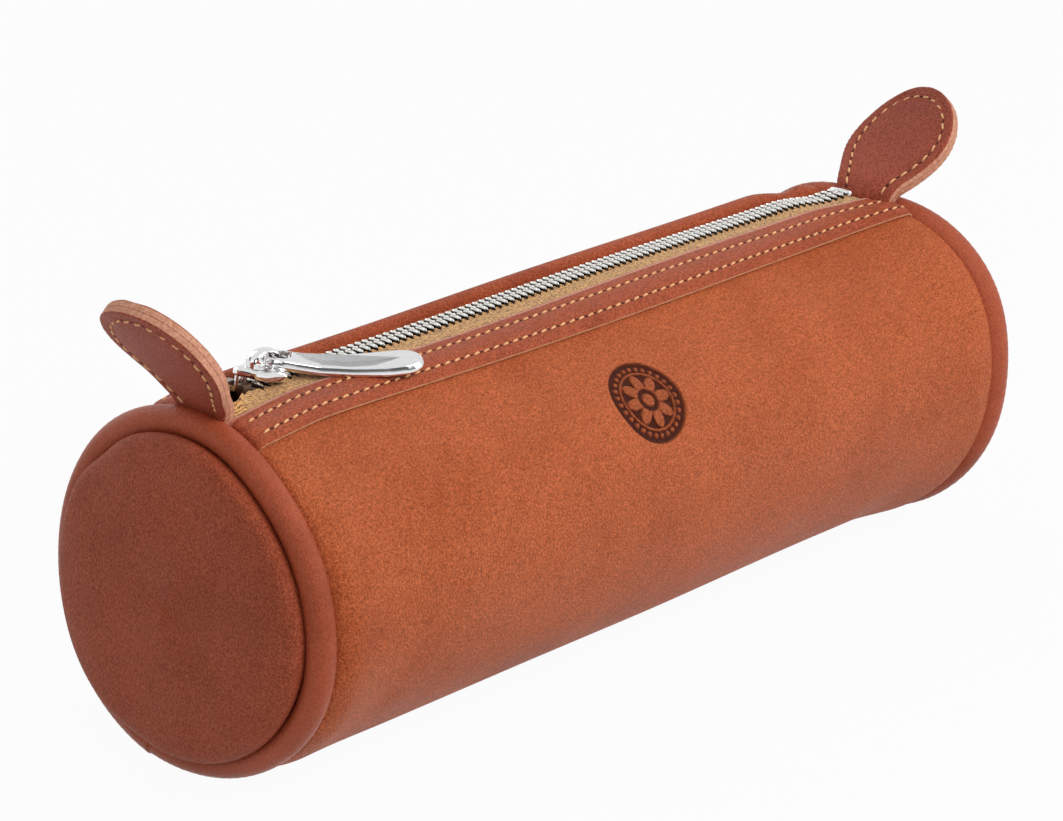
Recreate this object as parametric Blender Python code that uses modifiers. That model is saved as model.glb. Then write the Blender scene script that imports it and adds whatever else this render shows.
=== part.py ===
"""Round leather pen case with a metal zip, piped ends and two pull tabs.

The tube lies along X and stands on the floor at z = 0, with its zip on top.
Every length is in metres and every angle in radians.
"""
import math

import bmesh
import bpy
from mathutils import Matrix, Vector

# Driving dimensions of the tube and of its piped ends
SEAM_HALF_LENGTH = 0.1045
PIPING_OUTER_RADIUS = 0.0375
PIPING_ROLL_RADIUS = 0.0030
PIPING_LEATHER = 0.0010
PIPING_FLANGE_DEPTH = 0.0030
PANEL_LEATHER = 0.0018
BELLY_SWELL = 0.0036
CAP_LEATHER = 0.0012
CAP_SHOULDER_RADIUS = 0.0011
CAP_RISE = 0.0013

# Zip opening: the strips of leather that face it, its tapes and its chain
SLOT_HALF_WIDTH = 0.0070
FACING_WIDTH = 0.0104
FACING_LEATHER = 0.0014
FACING_LAP = 0.0049
TAPE_THICKNESS = 0.0006
TAPE_TO_PANEL = 0.0008
TAPE_TO_SEAM = 0.0079
CHAIN_HALF_WIDTH = 0.0030
TOOTH_PITCH = 0.0020
TOOTH_LENGTH = 0.0007
TOOTH_HEIGHT = 0.0022
TOOTH_REACH = 0.0006
BEAD_WIDTH = 0.0008
CHAIN_TO_TAPE_END = 0.0056
STOP_LENGTH = 0.0022
STOP_WIDTH = 0.0018

# Slider, its bridge and the puller that hangs in the bridge
SLIDER_TO_TAPE_END = 0.0111
SLIDER_LENGTH = 0.0120
SLIDER_PLATE = 0.0009
SLIDER_CHANNEL_SLACK = 0.0004
TAPE_SLIT_SLACK = 0.0009
SLIDER_RIM = 0.0010
POST_LENGTH = 0.0018
POST_WIDTH = 0.0016
BRIDGE_WIRE_RADIUS = 0.0006
BRIDGE_HALF_SPAN = 0.0025
PULLER_LENGTH = 0.0300
PULLER_HALF_WIDTH = 0.0046
PULLER_THICKNESS = 0.0013
PULLER_DROP = 0.0012
PULLER_BAR = 0.0015
PULLER_HOLE_LENGTH = 0.0044
PULLER_HOLE_HALF_WIDTH = 0.0025
PULLER_YAW = math.radians(-34.0)

# Pull tabs: two layers of leather sewn together, held in the end seams
TAB_LEATHER = 0.0017
TAB_LENGTH = 0.0390
TAB_ROOT_HALF_WIDTH = 0.0072
TAB_TIP_RADIUS = 0.0140
TAB_SEAM_DEPTH = 0.0030
TAB_BEND_LENGTH = 0.0110
LEFT_TAB_LEAN = math.radians(50.0)
RIGHT_TAB_LEAN = math.radians(62.0)

# Clearances, and the fold lines where the panel's two sides swing open
FIT_GAP = 0.0003
CUT_OVERRUN = 0.0050
MERGE_DISTANCE = 0.00001
BASE_HALF_ANGLE = math.radians(16.0)

# Sizes that follow from those above
AXIS_HEIGHT = PIPING_OUTER_RADIUS
ROLL_CENTRE_RADIUS = PIPING_OUTER_RADIUS - PIPING_ROLL_RADIUS
PANEL_SEAM_RADIUS = ROLL_CENTRE_RADIUS
BELLY_RADIUS = PANEL_SEAM_RADIUS + BELLY_SWELL
PANEL_HALF_LENGTH = SEAM_HALF_LENGTH - PIPING_ROLL_RADIUS - FIT_GAP
FLANGE_HALF_WIDTH = PIPING_LEATHER + FIT_GAP / 2
FLANGE_INNER_RADIUS = ROLL_CENTRE_RADIUS - PIPING_ROLL_RADIUS - PIPING_FLANGE_DEPTH
FACING_RADIUS = BELLY_RADIUS + FIT_GAP + FACING_LEATHER
LIP_ANGLE = math.asin(SLOT_HALF_WIDTH / FACING_RADIUS)
FACING_EDGE_ANGLE = LIP_ANGLE + FACING_WIDTH / FACING_RADIUS
PANEL_EDGE_ANGLE = FACING_EDGE_ANGLE - FACING_LAP / BELLY_RADIUS
TAPE_EDGE_ANGLE = PANEL_EDGE_ANGLE - TAPE_TO_PANEL / BELLY_RADIUS
TAPE_INNER_ANGLE = math.asin((CHAIN_HALF_WIDTH + FIT_GAP) / BELLY_RADIUS)
FOLD_ANGLE = math.pi - BASE_HALF_ANGLE
TAPE_HALF_LENGTH = SEAM_HALF_LENGTH - TAPE_TO_SEAM
CHAIN_END = TAPE_HALF_LENGTH - CHAIN_TO_TAPE_END
SLIDER_CENTRE_X = SLIDER_TO_TAPE_END - TAPE_HALF_LENGTH

SWELL_POWER = 16
PROFILE_STATION_SHARES = (1.0, 0.985, 0.96, 0.92, 0.86, 0.72, 0.4)


def swell(x):
    """Share of the belly's swell at x: 1 in the middle, falling to 0 at the seams."""
    station = min(abs(x) / PANEL_HALF_LENGTH, 1.0)
    return 1.0 - station ** SWELL_POWER


def panel_radius(x):
    """Outer radius of the leather tube at x."""
    return PANEL_SEAM_RADIUS + BELLY_SWELL * swell(x)


CHAIN_Z = AXIS_HEIGHT + math.sqrt((BELLY_RADIUS - TAPE_THICKNESS / 2) ** 2
                                  - CHAIN_HALF_WIDTH ** 2)


def clear_scene():
    for item in list(bpy.data.objects):
        bpy.data.objects.remove(item, do_unlink=True)


def new_collection(name):
    collection = bpy.data.collections.new(name)
    bpy.context.scene.collection.children.link(collection)
    return collection


def principled(name, colour, roughness, metallic=0.0):
    material = bpy.data.materials.new(name)
    material.use_nodes = True
    shader = material.node_tree.nodes["Principled BSDF"]
    shader.inputs["Base Color"].default_value = (*colour, 1.0)
    shader.inputs["Roughness"].default_value = roughness
    shader.inputs["Metallic"].default_value = metallic
    return material


clear_scene()
PARTS = new_collection("pen_case")
CUTTERS = new_collection("pen_case_cutters")

COGNAC = (0.42, 0.10, 0.036)
CHESTNUT = (0.22, 0.055, 0.026)
TAN_TAPE = (0.40, 0.24, 0.09)
NICKEL = (0.78, 0.78, 0.80)


def panel_leather(name):
    return principled(name, COGNAC, 0.45)


def dark_leather(name):
    return principled(name, CHESTNUT, 0.5)


def woven_tape(name):
    return principled(name, TAN_TAPE, 0.85)


def bright_metal(name):
    return principled(name, NICKEL, 0.2, 1.0)


def add_object(name, data, collection=PARTS, material=None):
    item = bpy.data.objects.new(name, data)
    collection.objects.link(item)
    if material is not None:
        data.materials.append(material)
    if collection is CUTTERS:
        item.hide_render = True
        item.display_type = "WIRE"
    return item


def mesh_from(name, points, edges=(), faces=()):
    mesh = bpy.data.meshes.new(name)
    mesh.from_pydata([Vector(point) for point in points], list(edges), list(faces))
    mesh.update()
    return mesh


def curve_as_mesh(curve_object, collection):
    """Turn a curve object into a mesh object in its place, its caps welded."""
    bpy.context.view_layer.update()
    depsgraph = bpy.context.evaluated_depsgraph_get()
    mesh = bpy.data.meshes.new_from_object(curve_object.evaluated_get(depsgraph))
    shape = bmesh.new()
    shape.from_mesh(mesh)
    bmesh.ops.remove_doubles(shape, verts=shape.verts, dist=MERGE_DISTANCE)
    shape.to_mesh(mesh)
    shape.free()
    name = curve_object.name
    placed = curve_object.matrix_world.copy()
    bpy.data.objects.remove(curve_object)
    item = add_object(name, mesh, collection)
    item.matrix_world = placed
    return item


def smooth(item):
    item.data.shade_smooth()
    item.data.set_sharp_from_angle(angle=math.radians(35.0))
    return item


def solidify(item, thickness, offset):
    modifier = item.modifiers.new("leather_thickness", "SOLIDIFY")
    modifier.thickness = thickness
    modifier.offset = offset
    modifier.use_even_offset = True
    return modifier


def boolean(item, other, operation):
    modifier = item.modifiers.new(other.name, "BOOLEAN")
    modifier.operation = operation
    modifier.solver = "EXACT"
    modifier.object = other
    return modifier


def turned(name, profile, material, start=0.0, sweep=2.0 * math.pi, steps=36):
    """Turn a profile of (x, radius) points about the tube's axis.

    start and sweep are measured from the top of the tube over its front.
    """
    points = [(radius, 0.0, x) for x, radius in profile]
    edges = [(index, index + 1) for index in range(len(points) - 1)]
    item = add_object(name, mesh_from(name, points, edges), material=material)
    item.location = (0.0, 0.0, AXIS_HEIGHT)
    outward = Vector((0.0, -math.sin(start), math.cos(start)))
    along = Vector((1.0, 0.0, 0.0))
    item.rotation_euler = Matrix((outward, along.cross(outward), along)).transposed().to_euler()
    screw = item.modifiers.new("turned", "SCREW")
    screw.axis = "Z"
    screw.angle = sweep
    screw.steps = steps
    screw.render_steps = steps
    screw.use_smooth_shade = True
    screw.use_merge_vertices = sweep > 1.99 * math.pi
    screw.merge_threshold = MERGE_DISTANCE
    return item


def strip_profile(half_length, lift=0.0):
    """Long profile of the tube's skin, from its right end to its left end."""
    stations = [half_length * share for share in PROFILE_STATION_SHARES]
    stations = stations + [0.0] + [-station for station in reversed(stations)]
    return [(x, panel_radius(x) + lift) for x in stations]


def box(name, low, high, collection=PARTS, material=None):
    """A block between two corners, made from a cube."""
    low, high = Vector(low), Vector(high)
    size = high - low
    mesh = bpy.data.meshes.new(name)
    shape = bmesh.new()
    place = Matrix.Translation((low + high) / 2) @ Matrix.Diagonal((*size, 1.0))
    bmesh.ops.create_cube(shape, size=1.0, matrix=place)
    shape.to_mesh(mesh)
    shape.free()
    return add_object(name, mesh, collection, material)


# Main panel: one hide wrapped round the tube, in three zones that fold along two lines
PANEL_SWEEP_STEPS = 20
BASE_SWEEP_STEPS = 4


def panel_side(name, front):
    edge_gap = FIT_GAP / BELLY_RADIUS
    sweep = FOLD_ANGLE - edge_gap - PANEL_EDGE_ANGLE
    start = PANEL_EDGE_ANGLE if front else -PANEL_EDGE_ANGLE - sweep
    item = turned(name, strip_profile(PANEL_HALF_LENGTH), panel_leather(name), start, sweep,
                  PANEL_SWEEP_STEPS)
    solidify(item, PANEL_LEATHER, -1.0)
    return item


def panel_base():
    item = turned("main_panel_base", strip_profile(PANEL_HALF_LENGTH),
                  panel_leather("main_panel_base"), FOLD_ANGLE, 2.0 * BASE_HALF_ANGLE,
                  BASE_SWEEP_STEPS)
    solidify(item, PANEL_LEATHER, -1.0)
    floor = box("floor_cut",
                (-PANEL_HALF_LENGTH - CUT_OVERRUN, -BELLY_RADIUS, -CUT_OVERRUN),
                (PANEL_HALF_LENGTH + CUT_OVERRUN, BELLY_RADIUS, 0.0), CUTTERS)
    boolean(item, floor, "DIFFERENCE")
    return item


panel_side("main_panel_front", True)
panel_side("main_panel_rear", False)
panel_base()


# Piping: a strip of leather folded round a cord, its two flanges held in the end seam
ROLL_STEPS = 8


def piping_profile(side):
    """Middle line of the folded strip: one flange, round the cord, the other flange."""
    middle_radius = PIPING_ROLL_RADIUS - PIPING_LEATHER / 2
    leg = (PIPING_LEATHER + FIT_GAP) / 2
    first = math.asin(leg / middle_radius)
    centre = side * SEAM_HALF_LENGTH
    points = [(centre + leg, FLANGE_INNER_RADIUS)]
    for index in range(ROLL_STEPS + 1):
        angle = first + (2.0 * math.pi - 2.0 * first) * index / ROLL_STEPS
        points.append((centre + middle_radius * math.sin(angle),
                       ROLL_CENTRE_RADIUS - middle_radius * math.cos(angle)))
    points.append((centre - leg, FLANGE_INNER_RADIUS))
    return points


def piping_cover(name, side):
    item = turned(name, piping_profile(side), dark_leather(name))
    solidify(item, PIPING_LEATHER, 0.0)
    return item


def piping_cord(name, side):
    """The cord inside the piping, a ring of round section."""
    radius = PIPING_ROLL_RADIUS - PIPING_LEATHER - FIT_GAP
    bpy.ops.mesh.primitive_torus_add(major_segments=36, minor_segments=6,
                                     major_radius=ROLL_CENTRE_RADIUS, minor_radius=radius,
                                     location=(side * SEAM_HALF_LENGTH, 0.0, AXIS_HEIGHT),
                                     rotation=(0.0, math.pi / 2, 0.0))
    item = bpy.context.active_object
    item.name = name
    item.data.name = name
    item.data.materials.append(woven_tape(name))
    for collection in list(item.users_collection):
        collection.objects.unlink(item)
    PARTS.objects.link(item)
    return smooth(item)


# End caps: a disc of leather whose rim is turned in along the piping's flange
CAP_HUG_STEPS = 2
CAP_SHOULDER_STEPS = 3
CAP_HUG_END = math.radians(55.0)
CAP_DOME_SHARES = (0.75, 0.4, 0.0)


def cap_profile(side):
    """Middle line of the cap: turned rim, over the roll, round the shoulder, up the dome."""
    seat = PIPING_ROLL_RADIUS + FIT_GAP + CAP_LEATHER / 2
    rim_height = FLANGE_HALF_WIDTH + FIT_GAP + CAP_LEATHER / 2
    hug_start = math.asin(rim_height / seat)
    points = [(rim_height, FLANGE_INNER_RADIUS)]
    for index in range(CAP_HUG_STEPS + 1):
        angle = hug_start + (CAP_HUG_END - hug_start) * index / CAP_HUG_STEPS
        points.append((seat * math.sin(angle), ROLL_CENTRE_RADIUS - seat * math.cos(angle)))
    last_height, last_radius = points[-1]
    centre_height = last_height + CAP_SHOULDER_RADIUS * math.sin(CAP_HUG_END)
    centre_radius = last_radius - CAP_SHOULDER_RADIUS * math.cos(CAP_HUG_END)
    turn = math.pi / 2 + CAP_HUG_END
    for index in range(1, CAP_SHOULDER_STEPS + 1):
        angle = CAP_HUG_END - turn * index / CAP_SHOULDER_STEPS
        points.append((centre_height - CAP_SHOULDER_RADIUS * math.sin(angle),
                       centre_radius + CAP_SHOULDER_RADIUS * math.cos(angle)))
    dome_height = centre_height + CAP_SHOULDER_RADIUS
    for share in CAP_DOME_SHARES:
        points.append((dome_height + CAP_RISE * (1.0 - share ** 2), centre_radius * share))
    return [(side * (SEAM_HALF_LENGTH + height), radius) for height, radius in points]


def end_cap(name, side):
    profile = cap_profile(side)
    item = turned(name, profile if side < 0 else list(reversed(profile)), dark_leather(name))
    solidify(item, CAP_LEATHER, 0.0)
    return item


for end_name, end_side in (("left", -1), ("right", 1)):
    piping_cover(end_name + "_piping_cover", end_side)
    piping_cord(end_name + "_piping_cord", end_side)
    end_cap(end_name + "_cap", end_side)


# Zip tapes and the leather facings that are sewn over them
TAB_STACK = 2.0 * TAB_LEATHER + FIT_GAP
TAB_INNER_X = PANEL_HALF_LENGTH - TAB_STACK
TAB_ROOT_Z = AXIS_HEIGHT + PANEL_SEAM_RADIUS - TAB_SEAM_DEPTH
TAB_FOLD_Z = AXIS_HEIGHT + PIPING_OUTER_RADIUS + FIT_GAP


def tab_half_width(distance):
    """Half width of a tab at a distance along it: a flared stem, then a round tip."""
    stem = TAB_LENGTH - TAB_TIP_RADIUS
    if distance > stem:
        return math.sqrt(max(TAB_TIP_RADIUS ** 2 - (distance - stem) ** 2, 0.0))
    flare = math.sin(math.pi / 2 * distance / stem)
    return TAB_ROOT_HALF_WIDTH + (TAB_TIP_RADIUS - TAB_ROOT_HALF_WIDTH) * flare


def zip_strip(name, front, inner, outer, half_length, lift, thickness, material):
    """A strip beside the zip, between two angles off the top."""
    start = inner if front else -outer
    item = turned(name, strip_profile(half_length, lift), material, start, outer - inner, 4)
    solidify(item, thickness, -1.0)
    return item


def facing(name, front):
    item = zip_strip(name, front, LIP_ANGLE, FACING_EDGE_ANGLE, PANEL_HALF_LENGTH,
                     FIT_GAP + FACING_LEATHER, FACING_LEATHER, dark_leather(name))
    reach = tab_half_width(TAB_FOLD_Z - TAB_ROOT_Z) + FIT_GAP
    for side in (-1, 1):
        near = side * (TAB_INNER_X - FIT_GAP)
        far = side * (PANEL_HALF_LENGTH + CUT_OVERRUN)
        notch = box(name + "_tab_notch", (min(near, far), -reach, AXIS_HEIGHT),
                    (max(near, far), reach, TAB_FOLD_Z + CUT_OVERRUN), CUTTERS)
        boolean(item, notch, "DIFFERENCE")
    return item


def tape(name, front):
    return zip_strip(name, front, TAPE_INNER_ANGLE, TAPE_EDGE_ANGLE, TAPE_HALF_LENGTH, 0.0,
                     TAPE_THICKNESS, woven_tape(name))


# Chain: two rows of metal teeth, each clamped on the bead at its tape's edge
POST_CENTRE_X = SLIDER_CENTRE_X - SLIDER_LENGTH / 2 + POST_LENGTH
CHAIN_START = POST_CENTRE_X + POST_LENGTH / 2 + FIT_GAP


def flat_outline(name, outline, thickness, collection, place):
    """A flat plate of the given outline, its middle at the given place."""
    curve = bpy.data.curves.new(name, "CURVE")
    curve.dimensions = "2D"
    curve.fill_mode = "BOTH"
    curve.extrude = thickness / 2
    spline = curve.splines.new("POLY")
    spline.points.add(len(outline) - 1)
    for point, (x, y) in zip(spline.points, outline):
        point.co = (x, y, 0.0, 1.0)
    spline.use_cyclic_u = True
    plate = add_object(name, curve, collection)
    plate.location = place
    return curve_as_mesh(plate, collection)


def teeth(name, side):
    """One row: a comb whose back is the bead and whose teeth pass the middle line."""
    back = side * CHAIN_HALF_WIDTH
    root = side * (CHAIN_HALF_WIDTH - BEAD_WIDTH)
    tip = -side * TOOTH_REACH
    x = CHAIN_START + (TOOTH_PITCH / 2 if side > 0 else 0.0)
    outline = [(x, back)]
    while x + TOOTH_LENGTH < CHAIN_END:
        outline += [(x, tip), (x + TOOTH_LENGTH, tip)]
        last = x + TOOTH_LENGTH
        x += TOOTH_PITCH
        if x + TOOTH_LENGTH < CHAIN_END:
            outline += [(last, root), (x, root)]
    outline.append((last, back))
    item = flat_outline(name, outline, TOOTH_HEIGHT, PARTS, (0.0, 0.0, CHAIN_Z))
    item.data.materials.append(bright_metal(name))
    return item


def stop(name, low_x, low_y, high_y):
    """A metal clip pressed on the chain's end, as high as a tooth."""
    return box(name, (low_x, low_y, CHAIN_Z - TOOTH_HEIGHT / 2),
               (low_x + STOP_LENGTH, high_y, CHAIN_Z + TOOTH_HEIGHT / 2),
               material=bright_metal(name))


for strip_name, strip_side in (("front", -1), ("rear", 1)):
    facing(strip_name + "_facing", strip_side < 0)
    tape(strip_name + "_tape", strip_side < 0)
    teeth(strip_name + "_teeth", strip_side)

TOP_STOP_X = SLIDER_CENTRE_X - SLIDER_LENGTH / 2 - FIT_GAP - STOP_LENGTH
stop("front_top_stop", TOP_STOP_X, -CHAIN_HALF_WIDTH, STOP_WIDTH - CHAIN_HALF_WIDTH)
stop("rear_top_stop", TOP_STOP_X, CHAIN_HALF_WIDTH - STOP_WIDTH, CHAIN_HALF_WIDTH)
stop("bottom_stop", CHAIN_END + FIT_GAP, -CHAIN_HALF_WIDTH, CHAIN_HALF_WIDTH)

# Slider: two plates on a post, with rims that hold the chain in its channel
CHANNEL_HALF_HEIGHT = TOOTH_HEIGHT / 2 + SLIDER_CHANNEL_SLACK
CHANNEL_HALF_WIDTH = CHAIN_HALF_WIDTH + SLIDER_CHANNEL_SLACK
SLIDER_HALF_WIDTH = CHANNEL_HALF_WIDTH + SLIDER_RIM
PLATE_TOP = CHAIN_Z + CHANNEL_HALF_HEIGHT + SLIDER_PLATE
TAPE_SLIT = TAPE_THICKNESS / 2 + TAPE_SLIT_SLACK
SLIDER_OUTLINE_SHARES = ((-1.0, 0.22), (-0.72, 0.72), (-0.4, 1.0), (0.9, 1.0), (1.0, 0.85))
RIM_START_SHARE = -0.35
RIM_END_SHARE = 0.88


def slider_plate(name, middle_z, collection):
    """A plate of the slider: a blunt wedge, pointed towards the open end of the zip."""
    half = [(x * SLIDER_LENGTH / 2, y * SLIDER_HALF_WIDTH) for x, y in SLIDER_OUTLINE_SHARES]
    outline = half + [(x, -y) for x, y in reversed(half)]
    return flat_outline(name, outline, SLIDER_PLATE, collection,
                        (SLIDER_CENTRE_X, 0.0, middle_z))


def slider_body():
    plate_offset = CHANNEL_HALF_HEIGHT + SLIDER_PLATE / 2
    item = slider_plate("slider_body", CHAIN_Z + plate_offset, PARTS)
    item.data.materials.append(bright_metal("slider_body"))
    under = slider_plate("slider_under_plate", CHAIN_Z - plate_offset, CUTTERS)
    post = box("slider_post",
               (POST_CENTRE_X - POST_LENGTH / 2, -POST_WIDTH / 2, CHAIN_Z - plate_offset),
               (POST_CENTRE_X + POST_LENGTH / 2, POST_WIDTH / 2, CHAIN_Z + plate_offset), CUTTERS)
    members = [under, post]
    rim_low = SLIDER_CENTRE_X + RIM_START_SHARE * SLIDER_LENGTH / 2
    rim_high = SLIDER_CENTRE_X + RIM_END_SHARE * SLIDER_LENGTH / 2
    for across in (-1, 1):
        inner = across * CHANNEL_HALF_WIDTH
        outer = across * (CHANNEL_HALF_WIDTH + SLIDER_RIM / 2)
        for up in (-1, 1):
            near = CHAIN_Z + up * TAPE_SLIT
            far = CHAIN_Z + up * plate_offset
            members.append(box("slider_rim", (rim_low, min(inner, outer), min(near, far)),
                               (rim_high, max(inner, outer), max(near, far)), CUTTERS))
    for member in members:
        boolean(item, member, "UNION")
    return item


BAR_REACH = math.hypot(PULLER_BAR / 2, PULLER_THICKNESS / 2)
BAR_Z = PLATE_TOP + FIT_GAP + BAR_REACH
BRIDGE_CROWN_Z = BAR_Z + BAR_REACH + FIT_GAP + BRIDGE_WIRE_RADIUS
BRIDGE_STEPS = 8


def slider_bridge():
    """The wire arch on the slider that the puller hangs in."""
    foot_z = PLATE_TOP + FIT_GAP
    rise = BRIDGE_CROWN_Z - foot_z
    path = []
    for index in range(BRIDGE_STEPS + 1):
        angle = math.pi * index / BRIDGE_STEPS
        path.append((-BRIDGE_HALF_SPAN * math.cos(angle), 0.0, rise * math.sin(angle) ** 0.5))
    curve = bpy.data.curves.new("slider_bridge", "CURVE")
    curve.dimensions = "3D"
    curve.bevel_depth = BRIDGE_WIRE_RADIUS
    curve.bevel_resolution = 2
    curve.use_fill_caps = True
    spline = curve.splines.new("POLY")
    spline.points.add(len(path) - 1)
    for point, place in zip(spline.points, path):
        point.co = (*place, 1.0)
    item = add_object("slider_bridge", curve)
    item.location = (SLIDER_CENTRE_X, 0.0, foot_z)
    item = curve_as_mesh(item, PARTS)
    item.data.materials.append(bright_metal("slider_bridge"))
    return smooth(item)


# Puller: a flat drop of metal with an eye, lying over the front facing
PULLER_WIDTH_SHARES = ((0.0, 0.52), (0.03, 0.68), (0.08, 0.75), (0.2, 0.78), (0.32, 0.84),
                       (0.5, 0.93), (0.7, 1.0), (0.86, 0.94), (0.94, 0.74), (0.985, 0.42),
                       (1.0, 0.2))
PULLER_ACROSS_SHARES = (-1.0, -0.5, 0.0, 0.5, 1.0)


def puller():
    rows = []
    back = -PULLER_BAR / 2
    for along, width in PULLER_WIDTH_SHARES:
        x = back + along * (PULLER_LENGTH - back)
        z = -PULLER_DROP * along ** 2 * (3.0 - 2.0 * along)
        rows.append([(x, across * width * PULLER_HALF_WIDTH, z) for across in PULLER_ACROSS_SHARES])
    points = [point for row in rows for point in row]
    count = len(PULLER_ACROSS_SHARES)
    faces = [(r * count + c, (r + 1) * count + c, (r + 1) * count + c + 1, r * count + c + 1)
             for r in range(len(rows) - 1) for c in range(count - 1)]
    item = add_object("puller", mesh_from("puller", points, faces=faces),
                      material=bright_metal("puller"))
    item.location = (SLIDER_CENTRE_X, 0.0, BAR_Z)
    item.rotation_euler = (0.0, 0.0, PULLER_YAW)
    solidify(item, PULLER_THICKNESS, 0.0)
    eye = bpy.data.meshes.new("puller_eye")
    shape = bmesh.new()
    middle = PULLER_BAR / 2 + PULLER_HOLE_LENGTH / 2
    place = Matrix.Translation((middle, 0.0, 0.0))
    size = Matrix.Diagonal((PULLER_HOLE_LENGTH / 2, PULLER_HOLE_HALF_WIDTH,
                            PULLER_THICKNESS + CUT_OVERRUN, 1.0))
    bmesh.ops.create_cone(shape, cap_ends=True, segments=16, radius1=1.0, radius2=1.0,
                          depth=1.0, matrix=place @ size)
    shape.to_mesh(eye)
    shape.free()
    cutter = add_object("puller_eye", eye, CUTTERS)
    cutter.location = item.location
    cutter.rotation_euler = item.rotation_euler
    boolean(item, cutter, "DIFFERENCE")
    return item


slider_body()
slider_bridge()
puller()

# Pull tabs: each stands in its end seam and leans outwards over the piping
TAB_ROWS = 12
TAB_ACROSS_STEPS = 6
TAB_TIP_END_SHARE = 0.985


def tab_grid(side, first, last, rows, lean, offset, origin):
    """Middle surface of one layer of a tab, between two distances along the tab.

    The tab rises from the seam and, past its fold line, leans outwards by an angle
    that grows to its full value over the bend. offset is from the tab's inner face.
    """
    fold = TAB_FOLD_Z - TAB_ROOT_Z
    x, z, walked = 0.0, 0.0, 0.0
    steps_per_row = 10
    grid = []
    for row in range(rows + 1):
        distance = first + (last - first) * row / rows
        while walked < distance - MERGE_DISTANCE:
            step = (last - first) / rows / steps_per_row if walked >= first else first
            share = min(max((walked - fold) / TAB_BEND_LENGTH, 0.0), 1.0)
            angle = lean * share * share * (3.0 - 2.0 * share)
            x += step * math.sin(angle)
            z += step * math.cos(angle)
            walked += step
        share = min(max((walked - fold) / TAB_BEND_LENGTH, 0.0), 1.0)
        angle = lean * share * share * (3.0 - 2.0 * share)
        half = tab_half_width(distance)
        out_x = TAB_INNER_X + x + offset * math.cos(angle)
        out_z = TAB_ROOT_Z + z - offset * math.sin(angle)
        for column in range(TAB_ACROSS_STEPS + 1):
            across = 2.0 * column / TAB_ACROSS_STEPS - 1.0
            grid.append((side * out_x - origin[0], across * half, out_z - origin[2]))
    return grid


def grid_faces(rows, columns):
    wide = columns + 1
    return [(r * wide + c, r * wide + c + 1, (r + 1) * wide + c + 1, (r + 1) * wide + c)
            for r in range(rows) for c in range(columns)]


def tab_root(name, side):
    """The foot of a tab, sewn into the seam, where its two layers are pressed into one."""
    origin = (side * TAB_INNER_X, 0.0, TAB_FOLD_Z)
    end = TAB_FOLD_Z - TAB_ROOT_Z - FIT_GAP
    points = tab_grid(side, 0.0, end, 2, 0.0, TAB_STACK / 2, origin)
    faces = grid_faces(2, TAB_ACROSS_STEPS)
    item = add_object(name, mesh_from(name, points, faces=faces), material=dark_leather(name))
    item.location = origin
    solidify(item, TAB_STACK, 0.0)
    return item


def tab_layer(name, side, lean, offset):
    origin = (side * TAB_INNER_X, 0.0, TAB_FOLD_Z)
    first = TAB_FOLD_Z - TAB_ROOT_Z
    last = TAB_LENGTH - TAB_TIP_RADIUS * (1.0 - TAB_TIP_END_SHARE)
    points = tab_grid(side, first, last, TAB_ROWS, lean, offset, origin)
    faces = grid_faces(TAB_ROWS, TAB_ACROSS_STEPS)
    item = add_object(name, mesh_from(name, points, faces=faces), material=dark_leather(name))
    item.location = origin
    solidify(item, TAB_LEATHER, 0.0)
    return item


for tab_name, tab_side, tab_lean in (("left_tab", -1, LEFT_TAB_LEAN),
                                     ("right_tab", 1, RIGHT_TAB_LEAN)):
    tab_root(tab_name + "_root", tab_side)
    tab_layer(tab_name + "_inner", tab_side, tab_lean, TAB_LEATHER / 2)
    tab_layer(tab_name + "_outer", tab_side, tab_lean, TAB_LEATHER * 1.5 + FIT_GAP)
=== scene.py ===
"""Looks of the round leather pen case, put together in the order in which one is sewn."""
import math

import bmesh
import bpy
import numpy as np
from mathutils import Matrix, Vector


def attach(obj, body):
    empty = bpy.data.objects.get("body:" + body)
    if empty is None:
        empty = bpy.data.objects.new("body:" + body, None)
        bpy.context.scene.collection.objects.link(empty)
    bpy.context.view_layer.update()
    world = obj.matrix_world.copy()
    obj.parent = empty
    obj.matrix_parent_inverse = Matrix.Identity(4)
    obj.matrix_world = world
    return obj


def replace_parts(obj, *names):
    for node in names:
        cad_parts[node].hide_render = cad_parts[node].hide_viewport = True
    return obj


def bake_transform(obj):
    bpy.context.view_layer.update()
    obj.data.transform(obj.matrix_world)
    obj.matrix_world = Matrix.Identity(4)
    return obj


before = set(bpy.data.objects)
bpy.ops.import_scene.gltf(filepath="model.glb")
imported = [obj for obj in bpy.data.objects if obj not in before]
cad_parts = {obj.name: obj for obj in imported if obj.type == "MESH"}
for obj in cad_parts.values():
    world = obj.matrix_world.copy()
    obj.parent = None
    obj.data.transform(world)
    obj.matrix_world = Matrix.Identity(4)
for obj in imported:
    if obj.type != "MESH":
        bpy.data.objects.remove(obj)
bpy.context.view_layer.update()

# The hide: one piece of smooth vegetable-tanned cowhide, 1.8 mm thick, wrapped round the
# tube from one edge of the zip to the other. Both its ends are turned down into the seams
# of the piped caps, and it lies on the table along a narrow flat.
AXIS_Z = 0.0375
SEAM_X = 0.1045
HIDE_END_X = 0.1018
SEAM_RADIUS = 0.0345
BELLY_RADIUS = 0.0380
SHOULDER = 0.0070
HIDE_WALL = 0.0018
LEAN = {-1: (-0.0038, 0.019, 0.011), 1: (-0.0026, -0.269, -0.004)}
ASIDE = {-1: -0.0022, 1: -0.0023}
SWELL = {-1: (-0.00050, -0.00020, math.radians(-118.0), 0.00057, math.radians(-15.0)),
         1: (-0.00033, 0.00109, math.radians(-93.0), 0.00178, math.radians(32.3))}
REAR_LIFT = {-1: -0.0002, 1: 0.0036}
REAR_LIFT_AT = math.radians(-17.0)
REAR_LIFT_WIDTH = 0.33
TABLE_PRESS = 0.0004
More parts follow.
